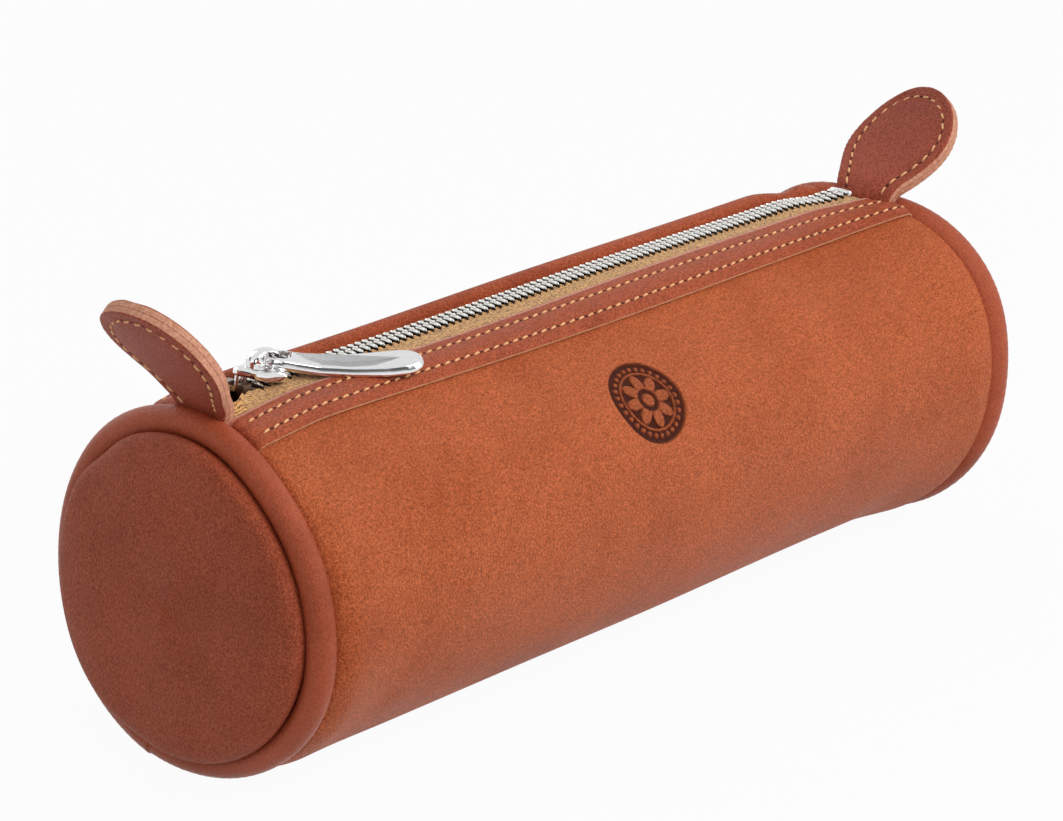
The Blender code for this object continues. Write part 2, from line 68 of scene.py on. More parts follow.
FOLD_ANGLE = math.radians(164.0)
HIDE_EDGE_ANGLE = math.radians(18.0)
ROLL_CENTRE = 0.0345
WAVES = (0.00022, 0.00010)
ZIP_SAG = 0.0011
FAR_SLIM = 0.0007
STAMP_X = -0.0055
STAMP_ANGLE = math.radians(57.4)
STAMP_RADIUS = 0.0094
STAMP_DEPTH = 0.00055
STAMP_PRESS = 0.0016
STAMP_RAISED = 0.00042
RIM_LINE_RADIUS = 0.00665
BOSS_RADIUS = 0.0015
BEAD_COUNT = 28
BEAD_CIRCLE = 0.0078


def srgb(red, green, blue):
    """A colour seen as 0 to 255 on a screen, as the light it stands for."""
    shares = np.array([red, green, blue]) / 255.0
    linear = np.where(shares <= 0.04045, shares / 12.92, ((shares + 0.055) / 1.055) ** 2.4)
    return tuple(float(value) for value in linear) + (1.0,)


def ease(value, low, high):
    """Smooth step: 0 below low, 1 above high, flat at both ends."""
    share = np.clip((value - low) / (high - low), 0.0, 1.0)
    return share * share * (3.0 - 2.0 * share)


def hide_radius(x, angle):
    """Radius of the tube's outer face: a quarter ellipse down to the seam at each end,
    less a sag under the zip and a slimmer far half, with waves that fade at the seams.
    Above the stamp the die has left it flatter, and fuller below: a sine in a bell."""
    from_end = HIDE_END_X - np.abs(x)
    inward = np.clip(from_end / SHOULDER, 0.0, 1.0)
    rise = np.sqrt(np.maximum(1.0 - (1.0 - inward) ** 2, 0.0))
    waves = WAVES[0] * np.sin(29.0 * x + 2.0 * angle + 0.4) * np.cos(3.0 * angle - 19.0 * x)
    waves = waves + WAVES[1] * np.sin(61.0 * x - 5.0 * angle + 1.1)
    sag = ZIP_SAG * ease(np.cos(angle), 0.45, 0.88)
    slim = FAR_SLIM * ease(x, 0.0, 0.070) * ease(-np.cos(angle), -0.2, 0.6)
    off = angle - STAMP_ANGLE
    pressed = STAMP_PRESS * np.sin(off / 0.27) * np.exp(-(off / 0.45) ** 2)
    belly = BELLY_RADIUS - SEAM_RADIUS - (sag + slim) * ease(rise, 0.4, 1.0)
    belly = belly + pressed * ease(from_end, 0.010, 0.080)
    return SEAM_RADIUS + belly * rise + waves * ease(from_end, 0.004, 0.035)


def settled(x, y, z):
    """Points as the soft case has settled. Each end leans: x shifts by a constant and by
    shares of y and of the height, smooth-stepped along the tube. Near its ring it also
    moves aside and goes out of round, by waves of two and three to the turn and by a bell
    behind the top. Nothing sinks below the table, by a smooth maximum."""
    turn = np.arctan2(-y, z - AXIS_Z)
    x, y, z = np.broadcast_arrays(x, y, z)
    placed = [x.copy(), y.copy(), z.copy()]
    for end in (-1, 1):
        shift, by_y, by_z = LEAN[end]
        share = ease(end * x, 0.0, SEAM_X)
        placed[0] += share * (shift + by_y * y + by_z * (z - AXIS_Z))
        even, two, two_at, three, three_at = SWELL[end]
        near = ease(end * x, 0.080, 0.1025)
        bell = np.exp(-((turn - REAR_LIFT_AT) / REAR_LIFT_WIDTH) ** 2)
        grow = (near * (even + two * np.cos(2.0 * (turn - two_at))
                        + three * np.cos(3.0 * (turn - three_at)))
                + REAR_LIFT[end] * ease(end * x, 0.0900, 0.1025) * bell) / ROLL_CENTRE
        placed[1] += near * ASIDE[end] + grow * y
        placed[2] += grow * (z - AXIS_Z)
    placed[2] = 0.5 * (placed[2] + np.sqrt(placed[2] ** 2 + TABLE_PRESS ** 2))
    return np.stack(placed, axis=-1)


def on_tube(x, angle, lift):
    """Points lift metres outside the hide, at x and at an angle off the top, front side
    positive."""
    radius = hide_radius(x, angle) + lift
    y = -radius * np.sin(angle)
    z = AXIS_Z + radius * np.cos(angle)
    return settled(x, y, z)


def stamp_relief(x, angle):
    """Depth and stain of the round blind stamp: a sunk disc with a rim line, a ring of
    beads, an eight-petalled rosette and a centre boss left standing in it."""
    across = x - STAMP_X
    along = (angle - STAMP_ANGLE) * BELLY_RADIUS
    radius = np.hypot(across, along)
    turn = np.arctan2(along, across)
    sunk = 1.0 - ease(radius, STAMP_RADIUS - 0.0002, STAMP_RADIUS + 0.0003)
    petal_reach = 0.0026 + 0.0036 * np.abs(np.cos(4.0 * turn)) ** 0.7
    petals = ease(petal_reach - radius, -0.0002, 0.0002) * ease(radius, 0.0024, 0.0028)
    bead_turn = (turn * BEAD_COUNT / (2.0 * math.pi)) % 1.0 - 0.5
    bead_along = bead_turn * BEAD_CIRCLE * 2.0 * math.pi / BEAD_COUNT
    beads = 1.0 - ease(np.hypot(radius - BEAD_CIRCLE, bead_along), 0.0003, 0.0007)
    line = 1.0 - ease(np.abs(radius - RIM_LINE_RADIUS), 0.0001, 0.0004)
    boss = 1.0 - ease(radius, BOSS_RADIUS - 0.0002, BOSS_RADIUS + 0.0002)
    raised = np.clip(petals + beads + line + boss, 0.0, 1.0) * sunk
    return sunk * STAMP_DEPTH - raised * STAMP_RAISED, sunk * (1.0 - 0.75 * raised)


def add_piece(name, points, faces, materials, indices=None, sharp=50.0, closed=True):
    """A mesh object from an array of points and a list of arrays of faces. A closed one is
    turned outwards, and smooth but for the edges sharper than this many degrees."""
    mesh = bpy.data.meshes.new(name)
    mesh.from_pydata(np.asarray(points).reshape(-1, 3), [],
                     sum((np.asarray(block).tolist() for block in faces), []))
    for material in materials:
        mesh.materials.append(material)
    if indices is not None:
        mesh.polygons.foreach_set("material_index", np.asarray(indices, np.int32))
    if closed:
        shape = bmesh.new()
        shape.from_mesh(mesh)
        bmesh.ops.recalc_face_normals(shape, faces=shape.faces)
        shape.to_mesh(mesh)
        shape.free()
        mesh.shade_smooth()
        mesh.set_sharp_from_angle(angle=math.radians(sharp))
    mesh.update()
    piece = bpy.data.objects.new(name, mesh)
    bpy.context.scene.collection.objects.link(piece)
    return piece


def quads(rows, columns, first=0, wrap_rows=False, wrap_columns=False):
    """Faces of a grid of points whose rows lie one after another."""
    row = np.arange(rows if wrap_rows else rows - 1)[:, None]
    column = np.arange(columns if wrap_columns else columns - 1)[None, :]
    below = (row + 1) % rows
    beside = (column + 1) % columns
    corners = (row * columns + column, below * columns + column,
               below * columns + beside, row * columns + beside)
    return np.stack(np.broadcast_arrays(*corners), axis=-1).reshape(-1, 4) + first


def wall(name, outer, inner, materials, edge_index=0, inner_index=0):
    """A closed wall of leather between two grids of points: its outer face, its inner
    face, and the four cut edges that join them."""
    rows, columns = outer.shape[:2]
    count = rows * columns
    grid = np.arange(count).reshape(rows, columns)
    border = np.concatenate([grid[0, :-1], grid[:-1, -1], grid[-1, :0:-1], grid[:0:-1, 0]])
    following = np.roll(border, -1)
    edges = np.stack([border, following, following + count, border + count], axis=-1)
    face = quads(rows, columns)
    indices = np.repeat([0, inner_index, edge_index], [len(face), len(face), len(edges)])
    return add_piece(name, np.stack([outer, inner]), [face, face[:, ::-1] + count, edges],
                     materials, indices)


def mark_points(piece, name, values):
    """Gives each point of a piece a number that its finish reads under this name."""
    marks = piece.data.attributes.new(name, "FLOAT", "POINT")
    marks.data.foreach_set("value", np.asarray(values, np.float32).ravel())


def new_finish(name):
    """An empty material: its nodes, its links, its shader, and Object coordinates."""
    material = bpy.data.materials.new(name)
    material.use_nodes = True
    tree = material.node_tree
    shader = tree.nodes["Principled BSDF"]
    place = tree.nodes.new("ShaderNodeTexCoord").outputs["Object"]
    return material, tree, shader, place


def noise(tree, place, scale, detail=3.0, roughness=0.55):
    """A cloud pattern with this many blotches to the metre."""
    cloud = tree.nodes.new("ShaderNodeTexNoise")
    cloud.inputs["Scale"].default_value = scale
    cloud.inputs["Detail"].default_value = detail
    cloud.inputs["Roughness"].default_value = roughness
    tree.links.new(place, cloud.inputs["Vector"])
    return cloud.outputs["Fac"]


def ramp(tree, value, stops):
    """A colour for each value, between stops of (value, colour)."""
    band = tree.nodes.new("ShaderNodeValToRGB")
    band.color_ramp.elements[0].position, band.color_ramp.elements[0].color = stops[0]
    band.color_ramp.elements[1].position, band.color_ramp.elements[1].color = stops[-1]
    for position, colour in stops[1:-1]:
        band.color_ramp.elements.new(position).color = colour
    tree.links.new(value, band.inputs["Fac"])
    return band.outputs["Color"]


def maths(tree, operation, first, second):
    """One sum on one or two values."""
    node = tree.nodes.new("ShaderNodeMath")
    node.operation = operation
    for socket, value in zip(node.inputs, (first, second)):
        if isinstance(value, float):
            socket.default_value = value
        else:
            tree.links.new(value, socket)
    return node.outputs["Value"]


def tint(tree, blend, amount, base, other):
    """Lays one colour over another by an amount."""
    node = tree.nodes.new("ShaderNodeMix")
    node.data_type = "RGBA"
    node.blend_type = blend
    for socket, value in ((node.inputs[0], amount), (node.inputs[6], base),
                          (node.inputs[7], other)):
        if isinstance(value, (float, tuple)):
            socket.default_value = value
        else:
            tree.links.new(value, socket)
    return node.outputs[2]


def marked(tree, name):
    """The number that the piece's points carry under this name."""
    node = tree.nodes.new("ShaderNodeAttribute")
    node.attribute_name = name
    return node.outputs["Fac"]


def between(tree, value, low, high):
    """A value from 0 to 1, stretched to run from low to high."""
    node = tree.nodes.new("ShaderNodeMapRange")
    node.inputs["To Min"].default_value = low
    node.inputs["To Max"].default_value = high
    tree.links.new(value, node.inputs["Value"])
    return node.outputs["Result"]


def relief(tree, shader, height, strength, depth):
    """Raises the surface by a height of 0 to 1, of this strength and depth."""
    bump = tree.nodes.new("ShaderNodeBump")
    bump.inputs["Strength"].default_value = strength
    bump.inputs["Distance"].default_value = depth
    tree.links.new(height, bump.inputs["Height"])
    tree.links.new(bump.outputs["Normal"], shader.inputs["Normal"])


def grain_leather(name, colour, shade, roughness=0.46, grain=1.0, stamped=False):
    """Aniline-dyed leather: a little cloudy, with a fine crisp grain, darker in its hollows
    and lighter on its pebbles, whose whitened tops are a painted highlight, and here and there a
    shallow wrinkle."""
    material, tree, shader, place = new_finish(name)
    bright = tuple(min(share * 1.10, 1.0) for share in colour[:3]) + (1.0,)
    clouds = ramp(tree, noise(tree, place, 34.0, 7.0, 0.68),
                  [(0.32, shade), (0.5, colour), (0.7, bright)])
    pebbles = noise(tree, place, 2200.0, 4.0, 0.66)
    # Grain colour: darker in the hollows; the whitened bright end paints a highlight on the raised
    # pebbles.
    grain_tone_and_sheen = ramp(tree, pebbles, [(0.38, (0.58, 0.50, 0.46, 1.0)), (0.50, (0.96, 0.95, 0.94, 1.0)),
                                  (0.62, (1.36, 1.48, 1.62, 1.0))])
    coloured = tint(tree, "MULTIPLY", 0.85 * grain, clouds, grain_tone_and_sheen)
    if stamped:
        coloured = tint(tree, "MIX", marked(tree, "stamp"), coloured, srgb(70, 22, 10))
    tree.links.new(coloured, shader.inputs["Base Color"])
    creases = tree.nodes.new("ShaderNodeTexVoronoi")
    creases.feature = "DISTANCE_TO_EDGE"
    creases.inputs["Scale"].default_value = 1500.0
    tree.links.new(place, creases.inputs["Vector"])
    edges = maths(tree, "MINIMUM", creases.outputs["Distance"], 0.25)
    height = maths(tree, "ADD", maths(tree, "MULTIPLY", pebbles, 2.2),
                   maths(tree, "MULTIPLY", edges, 2.0))
    wrinkles = maths(tree, "MULTIPLY", noise(tree, place, 130.0, 6.0, 0.7), 2.4)
    relief(tree, shader, maths(tree, "ADD", height, wrinkles), grain, 0.00022)
    gloss = between(tree, noise(tree, place, 90.0), roughness - 0.06, roughness + 0.14)
    tree.links.new(gloss, shader.inputs["Roughness"])
    shader.inputs["Specular IOR Level"].default_value = 0.26
    shader.inputs["Specular Tint"].default_value = srgb(255, 216, 190)
    return material


def fibrous(name, stops, clouds, tufts, strength, depth, roughness):
    """Bare leather or thread, mottled by one cloud pattern and raised by another. Each
    pattern is given as noise takes it: blotches to the metre, detail and roughness."""
    material, tree, shader, place = new_finish(name)
    tree.links.new(ramp(tree, noise(tree, place, *clouds), stops), shader.inputs["Base Color"])
    relief(tree, shader, noise(tree, place, *tufts), strength, depth)
    shader.inputs["Roughness"].default_value = roughness
    return material


def end_stations(sign, coarse_step, stop):
    """Places along the tube from one seam inwards, close together round the shoulder."""
    arc = np.linspace(0.0, math.pi / 2, 14)
    rim = HIDE_END_X - SHOULDER * (1.0 - np.cos(arc))
    rest = np.arange(HIDE_END_X - SHOULDER - coarse_step, stop, -coarse_step)
    return sign * np.concatenate([rim, rest])


HIDE = grain_leather("cognac_hide", srgb(198, 101, 58), srgb(184, 88, 46), stamped=True)
FLESH = fibrous("flesh_side", [(0.3, srgb(140, 88, 58)), (0.7, srgb(196, 138, 100))],
                (900.0, 5.0, 0.7), (2200.0, 4.0), 0.5, 0.0002, 0.9)
LINING_GAP = 0.0004
FINE = 0.0002
COARSE = 0.0020
BARE = 0.0024
stamp_reach = STAMP_RADIUS + 0.0008
stamp_turn = stamp_reach / BELLY_RADIUS
stamp_angles = np.arange(STAMP_ANGLE - stamp_turn, STAMP_ANGLE + stamp_turn, FINE / BELLY_RADIUS)
side_angles = np.linspace(HIDE_EDGE_ANGLE, FOLD_ANGLE, 72)
front_angles = np.sort(np.concatenate([
    side_angles[np.abs(side_angles - STAMP_ANGLE) > stamp_turn + 0.01], stamp_angles]))
base_angles = np.linspace(FOLD_ANGLE, 2.0 * math.pi - FOLD_ANGLE, 14)
left_half = np.sort(np.concatenate([
    end_stations(-1.0, COARSE, STAMP_RADIUS + 0.0074),
    np.arange(STAMP_X - stamp_reach, -0.0001, FINE), [0.0]]))
right_half = np.sort(np.concatenate([
    end_stations(1.0, COARSE, 0.0060), np.arange(0.0, STAMP_X + stamp_reach, FINE)]))
bare_left = np.sort(np.concatenate([end_stations(-1.0, BARE, 0.001), [0.0]]))
bare_right = -bare_left[::-1]


def hide_zone(name, stations, angles):
    """A zone of the hide as a closed wall, with the stamp's stain on its points."""
    x, angle = np.meshgrid(stations, angles, indexing="ij")
    depth, stain = stamp_relief(x, angle)
    piece = wall(name, on_tube(x, angle, -depth), on_tube(x, angle, -HIDE_WALL - LINING_GAP),
                 [HIDE, FLESH], inner_index=1)
    mark_points(piece, "stamp", [stain, 0.0 * stain])
    return piece


# Each quarter of the mouth: its flank and half, and the signs of its angle and of x.
QUARTERS = [(flank, half, side, sign) for half, sign in (("left", -1), ("right", 1))
            for flank, side in (("front", 1), ("rear", -1))]


def hang(piece, half, node=None):
    """Bakes a quarter of the mouth, from an end to mid length, in place as it stands.
    The left quarter stands in for the node."""
    if half == "right":
        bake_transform(piece)
        return
    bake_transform(piece)
    if node:
        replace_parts(piece, node)


for flank, half, stations, angles in (("front", "left", left_half, front_angles),
                                      ("front", "right", right_half, front_angles),
                                      ("rear", "left", bare_left, -side_angles[::-1]),
                                      ("rear", "right", bare_right, -side_angles[::-1])):
    zone = hide_zone(f"hide_{flank}_{half}", stations, angles)
    hang(zone, half, f"main_panel_{flank}")
hide_base = hide_zone("hide_base", np.concatenate([bare_left, bare_right[1:]]), base_angles)
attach(hide_base, "case")
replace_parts(hide_base, "main_panel_base")

# Piping: a strip of the same leather folded round a cotton cord and caught in each end
# seam, so that it stands up as a round ridge. Its two ends meet low on the rear side,
# where one laps over the other.
ROLL_RADIUS = {-1: 0.0030, 1: 0.0036}
ROLL_FACE = ROLL_CENTRE + 0.0030
PIPING_LAP_ANGLE = math.radians(-163.0)
PIPING = grain_leather("piping_hide", srgb(172, 82, 54), srgb(150, 66, 40), 0.33, 0.5)


def once_round(count):
    """This many angles, evenly spaced, once round."""
    return np.linspace(0.0, 2.0 * math.pi, count, endpoint=False)


def piping(name, sign):
    """A ring of round section. The section swells a little past the lap, and faint
    gathers run across it where the strip is drawn round the bend."""
    turn = once_round(420)[:, None]
    around = once_round(28)[None, :]
    past_lap = ((turn - PIPING_LAP_ANGLE) % (2.0 * math.pi)) * ROLL_CENTRE
    lap = 0.00028 * np.exp(-past_lap / 0.010)
    gathers = 0.00003 * np.sin(turn * 131.0 + 2.0 * np.sin(turn * 17.0)) * np.cos(around)
    sway = 0.00012 * np.sin(3.0 * turn + 1.0) + 0.00008 * np.sin(7.0 * turn)
    section = ROLL_RADIUS[sign] + lap + gathers
    radius = ROLL_FACE - ROLL_RADIUS[sign] + section * np.cos(around) + 0.5 * sway
    x = sign * SEAM_X + section * 1.02 * np.sin(around) + sway
    points = settled(x, -radius * np.sin(turn), AXIS_Z + radius * np.cos(turn))
    piece = add_piece(name, points, [quads(420, 28, wrap_rows=True, wrap_columns=True)], [PIPING])
    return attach(piece, "case")


for half, sign in (("left", -1), ("right", 1)):
    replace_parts(piping(half + "_piping", sign), half + "_piping_cover", half + "_piping_cord")

# End caps: a disc of leather drawn over a stiffener, so that it stands out as a low
# cushion. Its turned rim sinks into a narrow groove beside the piping.
CAP_HIDE = grain_leather("cap_hide", srgb(172, 82, 54), srgb(160, 74, 46))
CAP_WALL = 0.0014
CAP_PUCKERS = ((math.radians(322.0), 0.20, 0.0010), (math.radians(200.0), 0.16, 0.0005))
CAP_PROFILE = np.array([
    [0.0300, 0.0008], [0.0319, 0.0014], [0.03255, 0.0024], [0.0330, 0.0033], [0.0332, 0.0042],
    [0.0330, 0.0050], [0.0324, 0.0058], [0.0314, 0.0064], [0.0300, 0.0068], [0.0282, 0.0071],
    [0.0255, 0.0074], [0.0215, 0.0077], [0.0165, 0.0079], [0.0110, 0.0080], [0.0055, 0.0081],
    [0.0008, 0.0081]])


def cap(name, sign):
    """The profile of (radius, height) turned once round, drawn in at two puckers and
    lifted and sunk by shallow waves. The inner wall is the same profile, set deeper."""
    steps = np.linspace(0.0, len(CAP_PROFILE) - 1.0, 70)
    known = np.arange(len(CAP_PROFILE))
    profile = np.stack([np.interp(steps, known, column) for column in CAP_PROFILE.T], -1)
    for _ in range(3):
        profile[1:-1] = 0.25 * profile[:-2] + 0.5 * profile[1:-1] + 0.25 * profile[2:]
    radius, height = profile[:, :1], profile[:, 1:]
    turn = once_round(240)[None, :]
    rim = ease(radius, 0.020, 0.031)
    pucker = sum(deep * np.exp(-((turn - at) / wide) ** 2) for at, wide, deep in CAP_PUCKERS)
    reach = radius - rim * pucker + rim * 0.00012 * np.sin(5.0 * turn + 0.5)
    swell = height + (1.0 - rim) * 0.00018 * np.sin(2.0 * turn + 160.0 * radius)

    def face(depth):
        out = np.maximum(swell - depth * ease(radius, 0.036, 0.030), -0.0002)
        inward = reach - depth * ease(radius, 0.0290, 0.0325)
        return settled(sign * (SEAM_X + out), -inward * np.sin(turn),
                       AXIS_Z + inward * np.cos(turn))

    rows, columns = swell.shape
    count = rows * columns
    side = quads(rows, columns, wrap_columns=True)
    spin = np.arange(columns)
    beside = np.roll(spin, -1)
    rim_edge = np.stack([spin, beside, beside + count, spin + count], -1)
    pole = count - columns + spin
    faces = [side, side[:, ::-1] + count, rim_edge, [pole], [pole[::-1] + count]]
    piece = add_piece(name, np.stack([face(0.0), face(CAP_WALL)]), faces, [CAP_HIDE], sharp=180.0)
    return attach(piece, "case")


for half, sign in (("left", -1), ("right", 1)):
    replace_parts(cap(half + "_cap_hide", sign), half + "_cap")

# Zip tapes: woven cotton, tan, one each side of the zip. The row of teeth is clamped on
# the bead along the tape's inner edge; the rest is sewn down under the facing. The tape
# ends past the slider fray and curl up beside the gap.
CHAIN_Z = 0.0750
CHAIN_CROWN = CHAIN_Z - AXIS_Z - hide_radius(0.0, 0.0)
TAPE_EDGE = 0.0019
TAPE_OUTER = 0.0100
TAPE_THICKNESS = 0.0007
TAPE_END_X = 0.1005
TAPE_PARTS_X = (0.0870, 0.0975)
ZIP_SHIFT = -0.0009


def woven(name, light, deep, scale):
    """A close twill: two crossing sets of fine ribs, paler on top than between."""
    material, tree, shader, place = new_finish(name)
    split = tree.nodes.new("ShaderNodeSeparateXYZ")
    tree.links.new(place, split.inputs["Vector"])
    slants = [maths(tree, way, split.outputs["X"], split.outputs["Y"]) for way in ("ADD", "SUBTRACT")]
    ribs, cross = (maths(tree, "SINE", maths(tree, "MULTIPLY", slant, scale), 0.0)
                   for slant in slants)
    weave = maths(tree, "MULTIPLY_ADD", maths(tree, "MULTIPLY", ribs, cross), 0.5)
    weave.node.inputs[2].default_value = 0.5
    fuzz = maths(tree, "MULTIPLY", noise(tree, place, 1700.0, 3.0, 0.75), 0.8)
    shown = maths(tree, "ADD", maths(tree, "MULTIPLY", weave, 0.3), fuzz)
    tree.links.new(ramp(tree, shown, [(0.42, deep), (0.66, light)]), shader.inputs["Base Color"])
    relief(tree, shader, shown, 0.8, 0.00025)
    shader.inputs["Roughness"].default_value = 0.92
    shader.inputs["Sheen Weight"].default_value = 0.3
    return material


COTTON = woven("tan_cotton", srgb(250, 192, 118), srgb(92, 48, 18), 7400.0)


def tape(name, side, sign):
    """A strip along the zip: its inner edge is a round bead, and past the slider it draws
    aside and its edge rolls up."""
    along = np.linspace(0.0, TAPE_END_X, 170)[:, None] * sign
    across = np.linspace(0.0, 1.0, 16)[None, :]
    parted = ease(-along, *TAPE_PARTS_X)
    inner = TAPE_EDGE + (0.0026 + 0.0004 * np.sin(along * 700.0)) * parted
    offset = inner + (TAPE_OUTER - inner) * across
    rolled = (0.0021 + 0.0006 * np.sin(along * 1300.0)) * parted * np.exp(-across * 5.0)
    lift = CHAIN_CROWN * (1.0 - 0.9 * across) - 0.0004 * across + rolled
    bead = 0.0002 * np.exp(-(across / 0.08) ** 2)
    angle = side * offset / BELLY_RADIUS
    top = on_tube(along, angle, lift + bead)
    under = on_tube(along, angle, lift - TAPE_THICKNESS - bead)
    for grid in (top, under):
        grid[..., 1] += ZIP_SHIFT
    return wall(name, top, under, [COTTON])


for flank, half, side, sign in QUARTERS:
    cloth = tape(f"{flank}_tape_{half}", side, sign)
    hang(cloth, half, flank + "_tape")

# Teeth: nickel-plated and pressed on the beads a pitch apart, each with a rounded head
# that locks between two heads of the other row.
TOOTH_PITCH = 0.0020
CHAIN_START = -0.0864
CHAIN_END = 0.1000
CREST_HEIGHT = 0.0012
TOOTH_STACK = np.array([[0.0027, 0.00024, 0.00055], [0.0024, 0.00040, 0.00100],
                        [0.0015, 0.00042, 0.00122], [0.0008, 0.00038, 0.00092],
                        [0.0001, 0.00042, 0.00112], [-0.0005, 0.00026, 0.00060]])


def plate_metal(name, colour, roughness, wear, crested=False):
    """Bright plating, blurred here and there by fine scuffs. On the teeth, painted shade
    darkens all but the crests, by the attribute of that name, for the shade on their sides."""
    material, tree, shader, place = new_finish(name)
    shader.inputs["Metallic"].default_value = 1.0
    worn = tuple(share * 0.94 for share in colour[:3]) + (1.0,)
    shown = ramp(tree, noise(tree, place, 500.0, 3.0), [(0.3, worn), (0.7, colour)])
    if crested:
        # Painted shade: near black low on the teeth and on their sides, white on their crests.
        painted_side_shade = ramp(tree, marked(tree, "crest"), [(0.44, (0.06, 0.05, 0.04, 1.0)),
                                                   (0.70, (1.0, 1.0, 1.0, 1.0))])
        shown = tint(tree, "MULTIPLY", 1.0, shown, painted_side_shade)
    tree.links.new(shown, shader.inputs["Base Color"])
    scuffs = between(tree, noise(tree, place, 420.0, 3.0, 0.6), roughness, roughness + wear)
    tree.links.new(scuffs, shader.inputs["Roughness"])
    relief(tree, shader, noise(tree, place, 260.0, 2.0), 0.05, 0.00002)
    return material


NICKEL = plate_metal("nickel_teeth", (0.95, 0.93, 0.89, 1.0), 0.10, 0.10, crested=True)


def copies(blocks, points_each, count):
    """The faces of one form, as a list of arrays, repeated for each copy of its points."""
    shift = points_each * np.arange(count)[:, None, None]
    return [(block[None] + shift).reshape(-1, block.shape[1]) for block in blocks]


def tooth_row(name, side, sign):
    """Copies of one tooth along x. A tooth is a stack of six rounded oblongs, each with
    its distance from the middle line, half width along x and half height."""
    start = CHAIN_START + (TOOTH_PITCH / 2 if side < 0 else 0.0)
    places = np.arange(start, CHAIN_END, TOOTH_PITCH)
    places = places[(places < 0.0) == (sign < 0)]
    turn = once_round(8) + math.pi / 8
    out, half_width, half_height = TOOTH_STACK.T[:, :, None]
    one = np.stack(np.broadcast_arrays(half_width * np.cos(turn), -side * out,
                                       half_height * np.sin(turn)), -1).reshape(-1, 3)
    middle = settled(places, 0.0, AXIS_Z + hide_radius(places, 0.0)) + [0.0, ZIP_SHIFT, CHAIN_CROWN]
    ends = np.stack([np.arange(8), 40 + np.arange(8)[::-1]])
    faces = copies([quads(6, 8, wrap_columns=True), ends], len(one), len(places))
    row = add_piece(name, one[None] + middle[:, None], faces, [NICKEL], sharp=60.0)
    # Crest: each point's height in its tooth, which the finish reads to paint shade on the teeth's
    # sides.
    mark_points(row, "crest", np.tile(one[:, 2] / CREST_HEIGHT, len(places)))
    return row


for flank, half, side, sign in QUARTERS:
    hang(tooth_row(f"{flank}_teeth_{half}", side, sign), half, flank + "_teeth")

# Facings: a strip of smooth leather on each side of the zip, sewn down along two lines.
# The inner edge is turned to make a round lip over the tape; the outer edge is cut and
# shows the pale leather under the dye.
LIP = 0.0064
FACING_OUTER = 0.0166
FACING_WALL = 0.0013
FACING_BOW = 0.0014
LIP_ROLL = {1: 0.0010, -1: 0.0026}
SKIVED = 0.0020
STITCH_LINES = (0.0098, 0.0140)
STITCH_BOW = 0.0010
STITCH_SINK = 0.00026
FACING_HIDE = grain_leather("facing_hide", srgb(182, 88, 56), srgb(164, 74, 44), 0.40)


def cut_edge(name, light, deep):
    """The raw edge of the leather: pale fibres, darker where the layers meet."""
    return fibrous(name, [(0.3, deep), (0.65, light)], (1400.0, 5.0, 0.7), (2400.0, 4.0),
                   0.7, 0.0002, 0.85)


RAW_EDGE = cut_edge("raw_edge", srgb(226, 164, 124), srgb(180, 112, 76))
# The front lip's lighter band: partly its worn edge, partly a painted highlight along the rounded
# lip.
WORN_AND_HIGHLIT_LIP = cut_edge("worn_lip_painted_highlight", srgb(222, 164, 146), srgb(182, 118, 98))


def stitch_offset(row, x):
    """How far a line of stitching lies from the zip's middle: the outer one bows out."""
    return STITCH_LINES[row] + row * STITCH_BOW * (1.0 - (x / SEAM_X) ** 2)


def facing_height(offset, x, side):
    """Height of the facing's top over the hide: sunk along the stitching, and near the
    zip let down on the tape in front, but propped up as a roll behind."""
    sink = sum(STITCH_SINK * np.exp(-((offset - stitch_offset(row, x)) / 0.0007) ** 2)
               for row in range(2))
    near = 1.0 - ease(offset, LIP, 0.0125)
    calm = ease(SEAM_X - np.abs(x), 0.003, 0.009)
    return FACING_WALL - sink + near * np.where(side > 0, -0.0006, 0.0017 * calm)


def strip_offset(x, share):
    """Offset from the zip's middle at a share of the strip's width: the lip draws in
    towards the far end, and the cut edge bows out by 1.4 mm at mid length."""
    lip = LIP - 0.0012 * ease(x, -0.040, 0.080)
    bow = FACING_BOW * (1.0 - (x / SEAM_X) ** 2)
    return lip + (FACING_OUTER - lip) * share + bow * ease(share, 0.0, 1.0)


